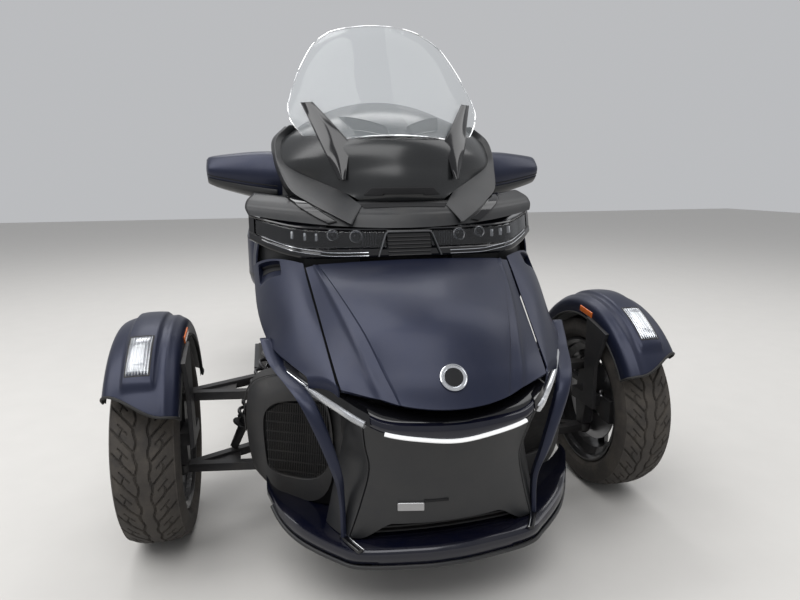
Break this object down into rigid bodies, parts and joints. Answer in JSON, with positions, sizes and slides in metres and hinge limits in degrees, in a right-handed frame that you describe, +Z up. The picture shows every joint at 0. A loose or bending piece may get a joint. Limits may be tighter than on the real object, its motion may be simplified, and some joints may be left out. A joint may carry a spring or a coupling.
{
  "type": "motorized trike",
  "caption": "Touring motor trike with steered front wheels, a belt-driven rear wheel, tall screen, opening hood, side cases with drop-down lids and a top case.",
  "frame": {"origin": "middle of the vehicle's footprint box, at floor level", "axes": "+Y to the vehicle's rear, +X to the vehicle's left, +Z up; the nose points to -Y"},
  "size_m": [1.554, 2.8339, 1.464],
  "materials": {
    "satin_navy": "satin metallic paint",
    "satin_black": "satin moulded plastic",
    "gloss_black": "gloss moulded plastic",
    "gloss_navy": "gloss paint",
    "clear_lens": "clear moulded lens",
    "smoked_lens": "smoked moulded lens",
    "screen": "clear screen",
    "tyre_rubber": "dusty rubber",
    "rim_black": "satin black cast alloy",
    "disc_steel": "machined steel",
    "frame_black": "black coated steel",
    "damper": "coated steel",
    "engine_alloy": "cast alloy",
    "radiator_fins": "black finned alloy",
    "exhaust": "brushed steel",
    "belt_rubber": "moulded rubber",
    "seat_leather": "grained seat cover",
    "grip_rubber": "moulded rubber",
    "display_glass": "dark glass cover",
    "mirror_silver": "silvered glass",
    "red_lens": "red moulded lens"
  },
  "bodies": {
    "frame": {"chassis": "frame_black", "engine_block": "engine_alloy", "suspension_arms": "frame_black", "shock_absorbers": "damper", "trunk_tub": "satin_black", "side_panels": "satin_navy", "strakes": "satin_navy", "bumper_bar": "gloss_navy", "nose_lamps": "clear_lens", "nose_panel": "satin_black", "lower_lip": "gloss_navy", "radiator_shrouds": "satin_black", "radiator_cores": "radiator_fins", "lamp_band": "gloss_black", "head_lamps": "smoked_lens", "upper_cowl": "satin_black", "cowl_necks": "satin_black", "dash_hood": "gloss_black", "windshield": "screen", "deflector_fins": "gloss_black", "mirror_pods": "satin_navy", "mid_fairings": "satin_navy", "console": "satin_black", "rear_body": "satin_navy", "rider_seat": "seat_leather", "passenger_seat": "seat_leather", "footboards": "satin_black", "muffler": "exhaust", "swingarm": "frame_black", "drive_belt": "belt_rubber", "left_bag": "satin_black", "right_bag": "satin_black", "top_case": "satin_black", "steering_rack": "damper", "instrument_display": "display_glass", "mirror_glasses": "mirror_silver", "tail_lamps": "red_lens"},
    "hood_lid": {"hood": "satin_navy"},
    "handlebar_assembly": {"handlebar": "frame_black", "grips": "grip_rubber"},
    "tie_rod_bar": {"tie_rods": "damper"},
    "left_upright": {"left_knuckle": "frame_black", "left_fender": "satin_navy", "left_fender_lamp": "clear_lens"},
    "right_upright": {"right_knuckle": "frame_black", "right_fender": "satin_navy", "right_fender_lamp": "clear_lens"},
    "left_wheel": {"left_tyre": "tyre_rubber", "left_rim": "rim_black", "left_disc": "disc_steel"},
    "right_wheel": {"right_tyre": "tyre_rubber", "right_rim": "rim_black", "right_disc": "disc_steel"},
    "rear_wheel": {"rear_tyre": "tyre_rubber", "rear_rim": "rim_black", "rear_disc_sprocket": "disc_steel"},
    "left_case_lid": {"left_bag_lid": "satin_navy"},
    "right_case_lid": {"right_bag_lid": "satin_navy"},
    "trunk_lid": {"top_case_lid": "satin_navy", "backrest": "seat_leather"}
  },
  "joints": [
    {"name": "steering", "type": "hinge", "parent": "frame", "child": "handlebar_assembly", "pos_m": [0, -0.3865, 0.925], "axis": [0, 0.342, 0.9397], "range_deg": [-30, 30]},
    {"name": "tie_rod_slide", "type": "slide", "parent": "frame", "child": "tie_rod_bar", "axis": [1, 0, 0], "range_m": [-0.049, 0.049]},
    {"name": "hood_hinge", "type": "hinge", "parent": "frame", "child": "hood_lid", "pos_m": [0, -0.9905, 0.776], "axis": [-1, 0, 0], "range_deg": [0, 40]},
    {"name": "rear_wheel_spin", "type": "hinge", "parent": "frame", "child": "rear_wheel", "pos_m": [0, 0.8975, 0.303], "axis": [1, 0, 0], "continuous": true},
    {"name": "trunk_lid_hinge", "type": "hinge", "parent": "frame", "child": "trunk_lid", "pos_m": [0, 0.8155, 1.012], "axis": [1, 0, 0], "range_deg": [0, 50]},
    {"name": "left_kingpin", "type": "hinge", "parent": "frame", "child": "left_upright", "pos_m": [0.64, -0.8165, 0.28125], "axis": [0, 0, 1], "range_deg": [-24, 24]},
    {"name": "left_wheel_spin", "type": "hinge", "parent": "left_upright", "child": "left_wheel", "pos_m": [0.692, -0.8165, 0.28125], "axis": [1, 0, 0], "continuous": true},
    {"name": "left_case_hinge", "type": "hinge", "parent": "frame", "child": "left_case_lid", "pos_m": [0.316, 0.8835, 0.412], "axis": [0, 1, 0], "range_deg": [0, 55]},
    {"name": "right_kingpin", "type": "hinge", "parent": "frame", "child": "right_upright", "pos_m": [-0.64, -0.8165, 0.28125], "axis": [0, 0, 1], "range_deg": [-24, 24]},
    {"name": "right_wheel_spin", "type": "hinge", "parent": "right_upright", "child": "right_wheel", "pos_m": [-0.692, -0.8165, 0.28125], "axis": [1, 0, 0], "continuous": true},
    {"name": "right_case_hinge", "type": "hinge", "parent": "frame", "child": "right_case_lid", "pos_m": [-0.316, 0.8835, 0.412], "axis": [0, -1, 0], "range_deg": [0, 55]}
  ],
  "couplings": [
    {"joint": "left_kingpin", "follows": "steering", "ratio": 0.8},
    {"joint": "right_kingpin", "follows": "steering", "ratio": 0.8},
    {"joint": "tie_rod_slide", "follows": "steering", "m_per_rad": -0.09322}
  ]
}
